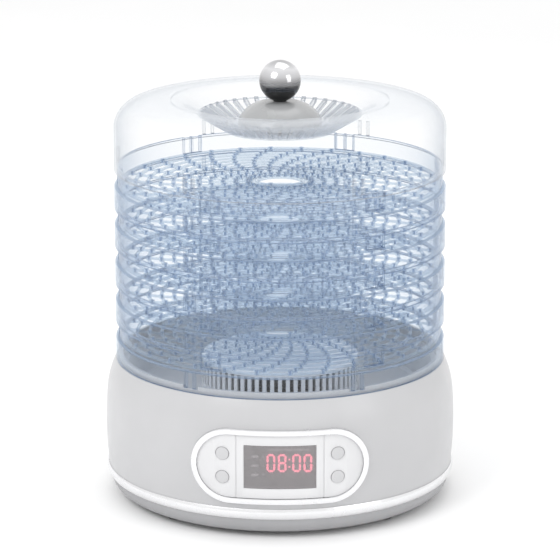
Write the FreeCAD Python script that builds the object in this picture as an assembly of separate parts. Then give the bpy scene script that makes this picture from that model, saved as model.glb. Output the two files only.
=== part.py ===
"""Round food dehydrator: a fan-heater base, five stacking clear trays and a vented clear lid.

Row frame: +Z up, origin on the table under the middle of the base, front panel towards -Y. Millimetres.
"""
import FreeCAD, Part

import math
import os

Vector = FreeCAD.Vector
ORIGIN = Vector(0, 0, 0)
UP = Vector(0, 0, 1)

# Stack
TRAY_COUNT = 5
SEAT_GAP = 0.2  # air between a tray's lugs and the rim that carries them
RIM_OVERLAP = 3.5  # how far a skirt reaches down over the rim below it
SHOULDER_Z = 135.0  # the base's ledge that carries the first tray
COLLAR_TOP = 141.0

# Tray, measured from the top of its ledge
TRAY_R = 160.0
TRAY_WALL = 2.0
RIM_R = 157.0  # outside of the upper wall
RIM_HEIGHT = 19.6
SKIRT_DEPTH = 21.1
FLOOR_BOTTOM, FLOOR_TOP = 1.0, 3.0
FLANGE_R = 150.6  # inside of the solid band next to the wall
HOLE_R = 21.6
HUB_R = 24.0
HUB_FLAT_R = 27.0
HUB_BOTTOM, HUB_TOP = -0.3, 4.1
RIB_COUNT = 30
RING_COUNT = 10
RING_PITCH = 12.0
OUTER_RING_R = 139.4
BAR = 3.0  # width of the floor's rings and ribs
POST_R = 2.3
POST_BOTTOM, POST_TOP = -0.1, 4.4
SWIRL_OUT, SWIRL_IN = 0.24, 0.15  # degrees that a rib turns per millimetre at its outer and inner end
GROUPS = 6
POCKET_DEG = 5.0  # middle of the first pocket in the upper wall
LUG_DEG = -2.5  # middle of the first lug inside the skirt
LUG_BOTTOM = RIM_OVERLAP - SKIRT_DEPTH

# Lid, measured from its lower edge
LID_WALL = 2.2
LID_SIDE = 40.0
LID_CORNER_R = 24.0
LID_APEX_R, LID_APEX_Z = 105.0, 67.4
LID_LIP_R = 30.0
LID_CONE_DEG = 31.0
LID_FLAT_R = 52.0
LID_BOSS_R = 9.0
LID_BOSS_RISE = 2.0
SLOT_COUNT = 40
SLOT_INNER, SLOT_OUTER = 54.0, 76.0
SLOT_WIDTH = 3.2
STEM_R = 4.1
STEM_BORE_R = 4.2
SHUTTER_GAP = 0.5
SHUTTER_WALL = 1.2
BALL_R = 20.0
BALL_Z = 84.5
CAP_R = 40.5
CAP_TOP = 64.8

# Base housing
HOUSING_WALL = 2.5
HOUSING_R = 170.5
HOUSING_WIDEST_Z = 72.0
HOUSING_SIDE_R = 383.0  # radius of the slow bulge of the side
HOUSING_TURN_Z = 105.0
HOUSING_TOP_R = 80.0  # radius of the faster curve above it
TRIM_BOTTOM, TRIM_TOP = 20.5, 31.0
COLLAR_R = 156.6
COLLAR_INNER = 153.6
DECK_BOTTOM, DECK_TOP = 101.5, 104.0
DUCT_R = 66.0
DUCT_WALL = 1.0
DUCT_BOTTOM = 43.0
DIFFUSER_R = 77.0
DIFFUSER_SLOTS = 64
DIFFUSER_SLOT_WIDTH = 3.6

# Underside
PAN_BOTTOM, PAN_TOP = 4.0, 6.5
PAN_FLAT_R = 150.0
FOOT_R, FOOT_CIRCLE = 9.0, 140.0
HOUSING_SCREW_CIRCLE = 146.0
MOTOR_POST_CIRCLE = 62.0
MOTOR_POST_ANGLES = (90, 210, 330)

# Motor and fan
MOTOR_R, MOTOR_BOTTOM, BRACKET_BOTTOM, BRACKET_TOP = 25.0, 15.0, 38.0, 40.0
SHAFT_R = 2.0
SHAFT_BORE_R = 2.05
FAN_R, FAN_HUB_R, FAN_BOTTOM, FAN_TOP = 62.0, 14.0, 44.0, 58.0
BLADE_COUNT = 7
HEATER_BOTTOM, HEATER_TOP = 78.0, 94.0
COIL_RADII = (22.0, 38.0, 54.0)
COIL_WIRE_R = 2.4

# Control panel, on a cylinder about Z
PANEL_Z = 73.0
PANEL_FRONT_R = 173.0
PANEL_W, PANEL_H = 167.0, 72.0
FACE_W, FACE_H = 156.4, 61.4
FACE_FRONT_R, FACE_BACK_R = 171.2, 168.2
WINDOW_W, WINDOW_H = 68.0, 42.0
BUTTON_X, BUTTON_DZ, BUTTON_R = 54.0, 11.5, 6.0
BUTTON_FLANGE_Y = -155.8
BOARD_FRONT_Y = -148.4
BOARD_WALL = 1.6
BUTTONS = {
    "power_button": (-BUTTON_X, BUTTON_DZ),
    "mode_button": (-BUTTON_X, -BUTTON_DZ),
    "plus_button": (BUTTON_X, BUTTON_DZ),
    "minus_button": (BUTTON_X, -BUTTON_DZ),
}

GLAND_Z = 45.0
GLAND_BACK_Y = PANEL_FRONT_R

LEDGE_1 = SHOULDER_Z + SKIRT_DEPTH + SEAT_GAP
TRAY_PITCH = RIM_HEIGHT - LUG_BOTTOM + SEAT_GAP
LID_Z = LEDGE_1 + (TRAY_COUNT - 1) * TRAY_PITCH + RIM_HEIGHT - RIM_OVERLAP + SEAT_GAP


# ---------------------------------------------------------------- shape helpers

def polar(radius, degrees, z=0.0):
    """Point at a radius and an angle about Z."""
    a = math.radians(degrees)
    return Vector(radius * math.cos(a), radius * math.sin(a), z)


def outline(start, *steps):
    """Closed face in the XZ plane. A step is a point (r, z) for a line or a pair (middle, end) for an arc."""
    place = lambda p: Vector(p[0], 0, p[1])
    edges, here = [], start
    for step in steps:
        if isinstance(step[0], tuple):
            middle, end = step
            edges.append(Part.Arc(place(here), place(middle), place(end)).toShape())
        else:
            end = step
            edges.append(Part.LineSegment(place(here), place(end)).toShape())
        here = end
    edges.append(Part.LineSegment(place(here), place(start)).toShape())
    return Part.Face(Part.Wire(edges))


def revolved(start, *steps):
    """Solid of revolution about Z from an outline."""
    return outline(start, *steps).revolve(ORIGIN, UP, 360)


def on_arc(centre, radius, degrees):
    """Point (r, z) on a circle in the XZ plane."""
    a = math.radians(degrees)
    return (centre[0] + radius * math.cos(a), centre[1] + radius * math.sin(a))


def arc_step(centre, radius, start_deg, end_deg):
    """Arc step for an outline: the arc's middle and end."""
    middle = (start_deg + end_deg) / 2
    return on_arc(centre, radius, middle), on_arc(centre, radius, end_deg)


def tube(inner, outer, bottom, top):
    """Ring with a rectangular section."""
    return revolved((inner, bottom), (outer, bottom), (outer, top), (inner, top))


def disc(radius, bottom, top, x=0.0, y=0.0):
    """Upright cylinder."""
    return Part.makeCylinder(radius, top - bottom, Vector(x, y, bottom), UP)


def rod_y(radius, y0, y1, x, z):
    """Cylinder along Y."""
    return Part.makeCylinder(radius, y1 - y0, Vector(x, y0, z), Vector(0, 1, 0))


def block(x0, x1, y0, y1, z0, z1):
    """Box from its limits."""
    return Part.makeBox(x1 - x0, y1 - y0, z1 - z0, Vector(x0, y0, z0))


def turned(shape, degrees):
    """Copy turned about Z."""
    copy = shape.copy()
    copy.rotate(ORIGIN, UP, degrees)
    return copy


def around(shape, count, first=0.0):
    """Copies spaced evenly about Z."""
    return [turned(shape, first + i * 360.0 / count) for i in range(count)]


def moved(shape, x=0.0, y=0.0, z=0.0):
    """Copy moved along the axes."""
    copy = shape.copy()
    copy.translate(Vector(x, y, z))
    return copy


def sector(inner, outer, start_deg, end_deg, bottom, top):
    """Piece of a ring between two angles."""
    middle = (start_deg + end_deg) / 2
    edges = [
        Part.LineSegment(polar(inner, start_deg, bottom), polar(outer, start_deg, bottom)).toShape(),
        Part.Arc(*(polar(outer, a, bottom) for a in (start_deg, middle, end_deg))).toShape(),
        Part.LineSegment(polar(outer, end_deg, bottom), polar(inner, end_deg, bottom)).toShape(),
        Part.Arc(*(polar(inner, a, bottom) for a in (end_deg, middle, start_deg))).toShape(),
    ]
    return Part.Face(Part.Wire(edges)).extrude(Vector(0, 0, top - bottom))


def fuse(first, others):
    """One clean solid from touching or overlapping ones."""
    return first.multiFuse(others).removeSplitter()


def stadium(width, height, y0=-180.0, y1=-140.0):
    """Round-ended prism along Y, in the middle of the control panel."""
    r, half = height / 2, (width - height) / 2
    corner = lambda x, z: Vector(x, y0, PANEL_Z + z)
    edges = [
        Part.LineSegment(corner(-half, -r), corner(half, -r)).toShape(),
        Part.Arc(corner(half, -r), corner(half + r, 0), corner(half, r)).toShape(),
        Part.LineSegment(corner(half, r), corner(-half, r)).toShape(),
        Part.Arc(corner(-half, r), corner(-half - r, 0), corner(-half, -r)).toShape(),
    ]
    return Part.Face(Part.Wire(edges)).extrude(Vector(0, y1 - y0, 0))


def window(width, height):
    """Rectangular prism along Y, in the middle of the control panel."""
    return block(-width / 2, width / 2, -180, -140, PANEL_Z - height / 2, PANEL_Z + height / 2)


def shell(inner, outer):
    """Upright tube as tall as the base, to cut panel pieces to the curve of the side."""
    return tube(inner, outer, 0, SHOULDER_Z)


# ---------------------------------------------------------------- trays

def swirl(radius):
    """Angle in degrees that a rib has turned at this radius, counted from the outer ring."""
    travel = OUTER_RING_R - radius
    span = (RING_COUNT - 1) * RING_PITCH
    return travel * (SWIRL_OUT + (SWIRL_IN - SWIRL_OUT) * travel / (2 * span))


def floor_opening(inner, outer, rib):
    """Outline of one opening between two rings and two ribs."""
    pitch = 360.0 / RIB_COUNT

    def side(radius, number, sign):
        return rib * pitch + number * pitch + swirl(radius) + sign * math.degrees(BAR / 2 / radius)

    a0, a1 = side(inner, 0, 1), side(inner, 1, -1)
    b0, b1 = side(outer, 0, 1), side(outer, 1, -1)
    z = FLOOR_BOTTOM
    return Part.Wire([
        Part.LineSegment(polar(inner, a0, z), polar(outer, b0, z)).toShape(),
        Part.Arc(polar(outer, b0, z), polar(outer, (b0 + b1) / 2, z), polar(outer, b1, z)).toShape(),
        Part.LineSegment(polar(outer, b1, z), polar(inner, a1, z)).toShape(),
        Part.Arc(polar(inner, a1, z), polar(inner, (a0 + a1) / 2, z), polar(inner, a0, z)).toShape(),
    ])


def tray_floor():
    """Plate of rings and swirling ribs with an opening in every cell, a post at every crossing, and the hub."""
    rings = [OUTER_RING_R - i * RING_PITCH for i in range(RING_COUNT)]
    outers = [FLANGE_R] + [r - BAR / 2 for r in rings]
    inners = [r + BAR / 2 for r in rings] + [HUB_FLAT_R]
    circle = lambda r: Part.Wire(Part.makeCircle(r, Vector(0, 0, FLOOR_BOTTOM), UP))
    wires = [circle(RIM_R - TRAY_WALL), circle(HOLE_R + 1)]
    for inner, outer in zip(inners, outers):
        wires += [floor_opening(inner, outer, k) for k in range(RIB_COUNT)]
    face = Part.Face(wires, "Part::FaceMakerBullseye")
    plate = face.extrude(Vector(0, 0, FLOOR_TOP - FLOOR_BOTTOM))
    pieces = [tube(HOLE_R, HUB_R, HUB_BOTTOM, HUB_TOP)]
    for radius in [FLANGE_R - BAR / 2] + rings:
        post = moved(disc(POST_R, POST_BOTTOM, POST_TOP), radius)
        pieces += around(post, RIB_COUNT, swirl(radius))
    return fuse(plate, pieces)


def tray_wall():
    """Upper wall, ledge and skirt of a tray, with pockets above the floor and lugs inside the skirt."""
    inside = RIM_R - TRAY_WALL
    wall = revolved(
        (TRAY_R - TRAY_WALL, -SKIRT_DEPTH),
        (TRAY_R, -SKIRT_DEPTH),
        (TRAY_R, -0.8),
        arc_step((TRAY_R - 0.8, -0.8), 0.8, 0, 90),
        (RIM_R, 0.0),
        (RIM_R, RIM_HEIGHT),
        (inside, RIM_HEIGHT),
        (inside, -TRAY_WALL),
        (TRAY_R - TRAY_WALL, -TRAY_WALL),
    )
    pads = around(sector(inside - 2.8, inside + 0.5, -3.9, 3.9, FLOOR_TOP, RIM_HEIGHT), GROUPS, POCKET_DEG)
    lugs = []
    for offset in (-1.7, 1.7):
        lug = sector(inside + 0.6, TRAY_R - TRAY_WALL + 0.3, offset - 0.55, offset + 0.55, LUG_BOTTOM, -1.0)
        lugs += around(lug, GROUPS, LUG_DEG)
    body = fuse(wall, pads + lugs)
    pockets = []
    for offset in (-1.9, 1.9):
        pocket = sector(inside - 1.2, RIM_R + 1, offset - 1.5, offset + 1.5, FLOOR_TOP, RIM_HEIGHT + 1)
        pockets += around(pocket, GROUPS, POCKET_DEG)
    return body.cut(pockets)


# ---------------------------------------------------------------- lid and knob

def lid_arcs(depth):
    """The dome's two outer arcs and the lip's arc, drawn a depth under the surface."""
    corner = (TRAY_R - LID_CORNER_R, LID_SIDE)
    across, up = corner[0] - LID_APEX_R, LID_APEX_Z - LID_SIDE
    crown_r = (across**2 + up**2 - LID_CORNER_R**2) / (2 * (up - LID_CORNER_R))
    crown = (LID_APEX_R, LID_APEX_Z - crown_r)
    meet = math.degrees(math.atan2(corner[1] - crown[1], across))
    lip = (LID_APEX_R, LID_APEX_Z - LID_LIP_R)
    return [
        (corner, LID_CORNER_R - depth, 0.0, meet),
        (crown, crown_r - depth, meet, 90.0),
        (lip, LID_LIP_R - depth, 90.0, 90.0 + LID_CONE_DEG),
    ]


def cone_at(radius, depth):
    """Height of the lid's cone, a depth under its upper surface, at a radius."""
    slope = math.radians(LID_CONE_DEG)
    centre, r, _, angle = lid_arcs(0.0)[2]
    top = on_arc(centre, r, angle)
    return top[1] - (top[0] - radius) * math.tan(slope) - depth / math.cos(slope)


def cone_radius(height, depth):
    """Radius at which the lid's cone, a depth under its upper surface, has a height."""
    slope = math.radians(LID_CONE_DEG)
    return LID_FLAT_R + (height - cone_at(LID_FLAT_R, depth)) / math.tan(slope)


def vent_slots(bottom, top):
    """Radial cutters for the lid's vents."""
    half = SLOT_WIDTH / 2
    return around(block(SLOT_INNER, SLOT_OUTER, -half, half, bottom, top), SLOT_COUNT)


def lid_pieces():
    """Clear dome and its sunken middle, with radial vents and a boss for the stem.

    They are one moulding, parted where the middle starts to fall."""
    outer, inner = lid_arcs(0.0), lid_arcs(LID_WALL)
    flat = cone_at(LID_FLAT_R, 0.0)
    under = flat - LID_WALL
    backwards = [(c, r, b, a) for c, r, a, b in reversed(inner)]
    dome = revolved(
        (TRAY_R - LID_WALL, 0.0),
        (TRAY_R, 0.0),
        (TRAY_R, LID_SIDE),
        *(arc_step(*a) for a in outer),
        (LID_FLAT_R, flat),
        (LID_BOSS_R, flat),
        (LID_BOSS_R, flat + LID_BOSS_RISE),
        (STEM_BORE_R, flat + LID_BOSS_RISE),
        (STEM_BORE_R, under),
        (cone_radius(under, LID_WALL), under),
        on_arc(backwards[0][0], backwards[0][1], backwards[0][2]),
        *(arc_step(*a) for a in backwards),
    )
    lugs = []
    for offset in (-1.7, 1.7):
        lug = sector(RIM_R - 1.4, TRAY_R - LID_WALL / 2, offset - 0.55, offset + 0.55, RIM_OVERLAP, 18.0)
        lugs += around(lug, GROUPS, LUG_DEG)
    whole = fuse(dome, lugs).cut(vent_slots(under + 0.5, LID_APEX_Z))
    middle = disc(LID_APEX_R, -1.0, LID_APEX_Z + 1.0)
    return {"lid_dome": whole.cut(middle), "lid_funnel": whole.common(middle)}


def vent_shutter():
    """Slotted cone under the lid's vents. It turns with the knob to close them."""
    above = LID_WALL + SHUTTER_GAP
    top = cone_at(LID_FLAT_R, 0.0) - above
    bottom = top - SHUTTER_WALL
    edge = SLOT_OUTER + 3.0
    plate = revolved(
        (STEM_R, bottom),
        (cone_radius(bottom, above + SHUTTER_WALL), bottom),
        (edge, cone_at(edge, above + SHUTTER_WALL)),
        (edge, cone_at(edge, above)),
        (cone_radius(top, above), top),
        (STEM_R, top),
    )
    return plate.cut(vent_slots(top + 0.3, LID_APEX_Z))


def knob_pieces():
    """Ball, cap, stem, shutter and nut of the vent knob."""
    flat = cone_at(LID_FLAT_R, 0.0)
    seat = flat + LID_BOSS_RISE + SEAT_GAP
    shutter_bottom = flat - LID_WALL - SHUTTER_GAP - SHUTTER_WALL
    ball = Part.makeSphere(BALL_R, Vector(0, 0, BALL_Z)).fuse(disc(6.5, CAP_TOP, BALL_Z))
    stem_top = BALL_Z - 4.0
    ball = ball.cut(disc(STEM_R, CAP_TOP - 1, stem_top))
    edge_z, wall = flat + 0.9, 2.0
    cap = revolved(
        (STEM_R, seat),
        (LID_BOSS_R, seat),
        (LID_BOSS_R, CAP_TOP - 2 * wall),
        ((29.0, CAP_TOP - 8.5), (CAP_R - wall, edge_z + 4.5)),
        (CAP_R - wall, edge_z),
        (CAP_R, edge_z),
        (CAP_R, edge_z + 5.0),
        ((30.5, CAP_TOP - 6.0), (11.0, CAP_TOP)),
        (STEM_R, CAP_TOP),
    )
    stem = disc(STEM_R, shutter_bottom - 6.0, stem_top)
    nut_bottom = shutter_bottom - 4.0
    hexagon = Part.makePolygon([polar(7.5, 60 * i, nut_bottom) for i in range(7)])
    nut = Part.Face(hexagon).extrude(Vector(0, 0, 4.0)).cut(disc(STEM_R, nut_bottom - 1, shutter_bottom + 1))
    return {
        "knob_ball": ball,
        "knob_cap": cap,
        "knob_stem": stem,
        "vent_shutter": vent_shutter(),
        "shutter_nut": nut,
    }


# ---------------------------------------------------------------- base casing

def side_arcs(depth):
    """The two arcs of the housing's side from the trim up to the shoulder, a depth inside the surface."""
    side = (HOUSING_R - HOUSING_SIDE_R, HOUSING_WIDEST_Z)
    turn = math.degrees(math.asin((HOUSING_TURN_Z - HOUSING_WIDEST_Z) / HOUSING_SIDE_R))
    knee = on_arc(side, HOUSING_SIDE_R, turn)
    top = on_arc(knee, -HOUSING_TOP_R, turn)
    start = math.degrees(math.asin((TRIM_TOP - HOUSING_WIDEST_Z) / (HOUSING_SIDE_R - depth)))
    end = math.degrees(math.asin((SHOULDER_Z - depth - top[1]) / (HOUSING_TOP_R - depth)))
    return [(side, HOUSING_SIDE_R - depth, start, turn), (top, HOUSING_TOP_R - depth, turn, end)]


def housing_envelope():
    """The housing's outside as a full body, to shape what lies against it."""
    arcs = side_arcs(0.0)
    return revolved((0.0, TRIM_TOP), on_arc(*arcs[0][:3]), *(arc_step(*a) for a in arcs), (0.0, SHOULDER_Z))


def upper_housing():
    """Outer shell with the shoulder and collar for the trays, the bowl and the deck over the works."""
    outer, inner = side_arcs(0.0), side_arcs(HOUSING_WALL)
    backwards = [(c, r, b, a) for c, r, a, b in reversed(inner)]
    body = revolved(
        on_arc(*outer[0][:3]),
        *(arc_step(*a) for a in outer),
        (COLLAR_R, SHOULDER_Z),
        (COLLAR_R, COLLAR_TOP),
        (COLLAR_INNER, COLLAR_TOP),
        (COLLAR_INNER, 130.0),
        (148.5, 128.0),
        (136.0, 106.5),
        (132.0, DECK_TOP),
        (74.2, DECK_TOP),
        (74.2, DECK_TOP + 5.0),
        (71.5, DECK_TOP + 5.0),
        (71.5, DECK_TOP),
        (DUCT_R, DECK_TOP),
        (DUCT_R, DECK_BOTTOM),
        (133.0, DECK_BOTTOM),
        (138.4, 105.0),
        (150.6, 125.8),
        (154.5, 127.3),
        (156.2, SHOULDER_Z - HOUSING_WALL),
        on_arc(backwards[0][0], backwards[0][1], backwards[0][2]),
        *(arc_step(*a) for a in backwards),
    )
    post = disc(4.5, 8.5, 113.0, HOUSING_SCREW_CIRCLE)
    body = fuse(body, around(post, 6))
    cutters = around(disc(1.5, 8.0, 30.0, HOUSING_SCREW_CIRCLE), 6)
    notch = sector(COLLAR_INNER - 1, COLLAR_R + 1, -3.0, 3.0, COLLAR_TOP - 2.8, COLLAR_TOP + 1)
    cutters += around(notch, GROUPS, LUG_DEG)
    cutters += around(disc(1.45, DECK_BOTTOM - 1, DECK_TOP - 0.5, 75.5), 4, 45)
    cutters += [stadium(PANEL_W - 6.0, PANEL_H - 6.0), rod_y(7.1, 150, 180, 0, GLAND_Z)]
    return body.cut(cutters)


def trim_ring():
    """Bright band between the housing and the pan."""
    return revolved(
        (164.0, TRIM_BOTTOM),
        (167.5, TRIM_BOTTOM),
        ((170.2, (TRIM_BOTTOM + TRIM_TOP) / 2), (169.2, TRIM_TOP)),
        (164.0, TRIM_TOP),
    )


def bottom_pan():
    """Lower cover with air intakes, posts for the motor and the power board, and screw seats."""
    centre, spigot = (PAN_FLAT_R, TRIM_BOTTOM), 163.8
    depth = TRIM_BOTTOM - PAN_BOTTOM
    inner_depth = TRIM_BOTTOM - PAN_TOP
    web = -math.degrees(math.asin(2.5 / inner_depth))
    pan = revolved(
        (0.0, PAN_BOTTOM),
        (PAN_FLAT_R, PAN_BOTTOM),
        arc_step(centre, depth, -90, 0),
        (spigot, TRIM_BOTTOM),
        (spigot, TRIM_TOP - 1.0),
        (spigot - 2.3, TRIM_TOP - 1.0),
        (spigot - 2.3, TRIM_BOTTOM - 2.5),
        on_arc(centre, inner_depth, web),
        arc_step(centre, inner_depth, web, -90),
        (0.0, PAN_TOP),
    )
    posts = around(disc(5.0, PAN_TOP - 1, 8.5, HOUSING_SCREW_CIRCLE), 6)
    posts += [turned(disc(4.5, PAN_TOP - 1, BRACKET_BOTTOM, MOTOR_POST_CIRCLE), a) for a in MOTOR_POST_ANGLES]
    posts += [disc(3.2, PAN_TOP - 1, 12.0, x, y) for x, y in power_board_corners()]
    cutters = around(disc(3.6, PAN_BOTTOM - 1, 6.0, HOUSING_SCREW_CIRCLE), 6)
    cutters += around(disc(1.9, PAN_BOTTOM - 1, 9.0, HOUSING_SCREW_CIRCLE), 6)
    cutters += [turned(disc(1.55, 29.0, 39.0, MOTOR_POST_CIRCLE), a) for a in MOTOR_POST_ANGLES]
    cutters += [disc(1.25, 7.5, 12.5, x, y) for x, y in power_board_corners()]
    cutters += around(disc(3.1, PAN_BOTTOM - 1, PAN_TOP + 1, FOOT_CIRCLE), 4, 45)
    cutters += around(block(28, 54, -2, 2, PAN_BOTTOM - 1, PAN_TOP + 1), 24, 7.5)
    cutters += around(block(70, 92, -1.8, 1.8, PAN_BOTTOM - 1, PAN_TOP + 0.2), 40, 4.5)
    return fuse(pan, posts).cut(cutters)


def rubber_feet():
    """Four push-in feet."""
    foot = revolved(
        (0.0, 0.0), (FOOT_R - 1, 0.0), (FOOT_R, 1.0), (FOOT_R, PAN_BOTTOM), (3.0, PAN_BOTTOM),
        (3.0, PAN_TOP), (4.0, PAN_TOP), (3.2, PAN_TOP + 2.0), (0.0, PAN_TOP + 2.0),
    )
    return Part.makeCompound(around(moved(foot, FOOT_CIRCLE), 4, 45))


def air_diffuser():
    """White cap over the fan, slotted all round its side, with a slightly crowned top."""
    top, side_top, corner_r, wall = 140.2, 133.5, 3.5, 2.5
    reach = DIFFUSER_R - corner_r
    rise = top - side_top - corner_r
    drop = (reach**2 - rise**2) / (2 * rise)
    corner, crown = (reach, side_top), (0.0, side_top - drop)
    crown_r = top - crown[1]
    meet = math.degrees(math.atan2(drop, reach))
    cap = revolved(
        (DIFFUSER_R, DECK_TOP),
        (DIFFUSER_R, side_top),
        arc_step(corner, corner_r, 0, meet),
        arc_step(crown, crown_r, meet, 90),
        (0.0, top - wall),
        arc_step(crown, crown_r - wall, 90, meet),
        arc_step(corner, corner_r - wall, meet, 0),
        (DIFFUSER_R - wall, DECK_TOP),
    )
    half = DIFFUSER_SLOT_WIDTH / 2
    slot = block(DIFFUSER_R - 6, DIFFUSER_R + 2, -half, half, DECK_TOP + 7.0, side_top - 1.5)
    return cap.cut(around(slot, DIFFUSER_SLOTS, 180.0 / DIFFUSER_SLOTS))


def screw(head_r, shank_r, tip, seat, head_top, x, y):
    """Pan-head screw along Z, its head on the side of head_top."""
    low, high = sorted((seat, head_top))
    return disc(head_r, low, high, x, y).fuse(disc(shank_r, min(tip, seat), max(tip, seat), x, y))


def housing_screws():
    """Six screws through the pan into the housing's posts."""
    one = screw(3.4, 1.45, 28.0, 6.0, PAN_BOTTOM + 0.1, HOUSING_SCREW_CIRCLE, 0)
    return Part.makeCompound(around(one, 6))


def cord_gland():
    """Rubber bush in the back wall, for a mains lead. Its flange clears the bulge of the wall."""
    wall_y = 170.2
    bush = rod_y(10.5, wall_y, GLAND_BACK_Y, 0, GLAND_Z)
    bush = fuse(bush, [rod_y(7.0, 161.0, wall_y, 0, GLAND_Z), rod_y(9.0, 161.0, 165.0, 0, GLAND_Z)])
    return bush.cut(rod_y(3.6, 150, 180, 0, GLAND_Z))


# ---------------------------------------------------------------- works inside the base

def air_duct():
    """Metal tube round the fan and heater, hung from the deck."""
    outer = DUCT_R + DUCT_WALL
    top = DECK_BOTTOM - SEAT_GAP
    duct = revolved(
        (DUCT_R, DUCT_BOTTOM), (outer, DUCT_BOTTOM), (outer, top - 1.3), (80.0, top - 1.3), (80.0, top), (DUCT_R, top),
    )
    return duct.cut(around(disc(1.6, top - 3, top + 1, 75.5), 4, 45))


def duct_screws():
    """Four screws up through the duct's flange."""
    head_top = DECK_BOTTOM - SEAT_GAP - 1.3
    one = screw(3.0, 1.4, DECK_TOP - 0.6, head_top, head_top - 2.0, 75.5, 0)
    return Part.makeCompound(around(one, 4, 45))


def heater_frame():
    """Crossed mica plates that carry the coils."""
    half = DUCT_R - 0.3
    arm = block(-half, half, -0.6, 0.6, HEATER_BOTTOM, HEATER_TOP)
    middle = (HEATER_BOTTOM + HEATER_TOP) / 2
    cutters = [Part.makeTorus(r, COIL_WIRE_R + 0.5, Vector(0, 0, middle)) for r in COIL_RADII]
    return fuse(arm, [turned(arm, 90)]).cut(cutters)


def heating_coil():
    """Three rings of heating wire."""
    middle = (HEATER_BOTTOM + HEATER_TOP) / 2
    return Part.makeCompound([Part.makeTorus(r, COIL_WIRE_R, Vector(0, 0, middle)) for r in COIL_RADII])


def thermal_cutout():
    """Disc thermostat on the side of the duct."""
    start = DUCT_R + DUCT_WALL + 0.3
    body = Part.makeCylinder(8.0, 6.0, Vector(start, 0, 86.0), Vector(1, 0, 0))
    tabs = [block(start + 5, start + 13, y - 0.4, y + 0.4, 82.5, 89.5) for y in (-3.0, 3.0)]
    return fuse(body, tabs)


def temperature_probe():
    """Sensor standing on the heater frame."""
    tip = HEATER_TOP + 16.0
    rod = disc(1.5, HEATER_TOP, tip, 46.0)
    return rod.fuse(Part.makeSphere(2.2, Vector(46.0, 0, tip)))


def motor_can():
    """Motor body hung under the bracket, with a pocket for the bearing."""
    body = revolved(
        (0.0, MOTOR_BOTTOM), (MOTOR_R - 2, MOTOR_BOTTOM), (MOTOR_R, MOTOR_BOTTOM + 2), (MOTOR_R, BRACKET_BOTTOM),
        (4.9, BRACKET_BOTTOM), (4.9, BRACKET_TOP + 1), (4.0, BRACKET_TOP + 1), (4.0, 36.0), (3.0, 36.0), (3.0, 25.0),
        (0.0, 25.0),
    )
    return body


def motor_bearing():
    """Sintered bush round the shaft."""
    return tube(SHAFT_BORE_R, 4.0, 36.0, BRACKET_TOP + 1)


def motor_bracket():
    """Three-armed plate that carries the motor on the pan's posts."""
    arm = block(0, MOTOR_POST_CIRCLE, -6, 6, BRACKET_BOTTOM, BRACKET_TOP)
    pad = disc(7.0, BRACKET_BOTTOM, BRACKET_TOP, MOTOR_POST_CIRCLE)
    pieces = [turned(s, a) for s in (arm, pad) for a in MOTOR_POST_ANGLES]
    plate = fuse(disc(30.0, BRACKET_BOTTOM, BRACKET_TOP), pieces)
    holes = [turned(disc(2.0, BRACKET_BOTTOM - 1, BRACKET_TOP + 1, MOTOR_POST_CIRCLE), a) for a in MOTOR_POST_ANGLES]
    return plate.cut(holes + [disc(5.0, BRACKET_BOTTOM - 1, BRACKET_TOP + 1)])


def bracket_screws():
    """Three screws down into the pan's posts."""
    one = screw(3.2, 1.5, 30.0, BRACKET_TOP, BRACKET_TOP + 2.0, MOTOR_POST_CIRCLE, 0)
    return Part.makeCompound([turned(one, a) for a in MOTOR_POST_ANGLES])


def fan_impeller():
    """Axial fan: a hub with seven pitched blades."""
    middle = (FAN_BOTTOM + FAN_TOP) / 2
    blade = block(FAN_HUB_R - 3, FAN_R + 5, -12, 12, middle - 0.8, middle + 0.8)
    blade.rotate(Vector(0, 0, middle), Vector(1, 0, 0), 30)
    blade = blade.common(disc(FAN_R, FAN_BOTTOM - 5, FAN_TOP + 5))
    hub = fuse(disc(FAN_HUB_R, FAN_BOTTOM, FAN_TOP), around(blade, BLADE_COUNT))
    return hub.cut(disc(SHAFT_R, FAN_BOTTOM - 1, FAN_TOP + 1))


def power_board_corners():
    """Screw places of the power board."""
    return [(x, y) for x in (-124.0, -82.0) for y in (-31.0, 41.0)]


def power_board():
    """Mains and motor circuit board on the pan."""
    board = block(-128, -78, -35, 45, 12.0, 12.0 + BOARD_WALL)
    return board.cut([disc(1.5, 11, 15, x, y) for x, y in power_board_corners()])


def power_components():
    """Transformer, relay, capacitor, fuse and plugs on the power board."""
    top = 12.0 + BOARD_WALL
    boxes = [(-120, -96, 5, 33, 20), (-92, -80, -5, 13, 15), (-126, -118, -22, -2, 10), (-108, -88, -30, -22, 9)]
    pieces = [block(x0, x1, y0, y1, top, top + h) for x0, x1, y0, y1, h in boxes]
    pieces += [disc(6.0, top, top + 22, -105.0, -8.0), disc(4.0, top, top + 12, -86.0, 27.0)]
    return Part.makeCompound(pieces)


# ---------------------------------------------------------------- control panel

def panel_bezel():
    """Bright round-ended frame of the control panel, clipped into the housing."""
    hole = stadium(FACE_W + 0.6, FACE_H + 0.6)
    flange = stadium(PANEL_W, PANEL_H).cut(hole).common(shell(0.1, PANEL_FRONT_R)).cut(housing_envelope())
    sleeve = stadium(PANEL_W - 6.6, PANEL_H - 6.6).cut(hole).common(shell(164.0, 171.5))
    lip = stadium(FACE_W + 0.8, FACE_H + 0.8).cut(stadium(FACE_W - 4.4, FACE_H - 4.4)).common(shell(165.2, 167.9))
    return fuse(flange, [sleeve, lip])


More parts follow.
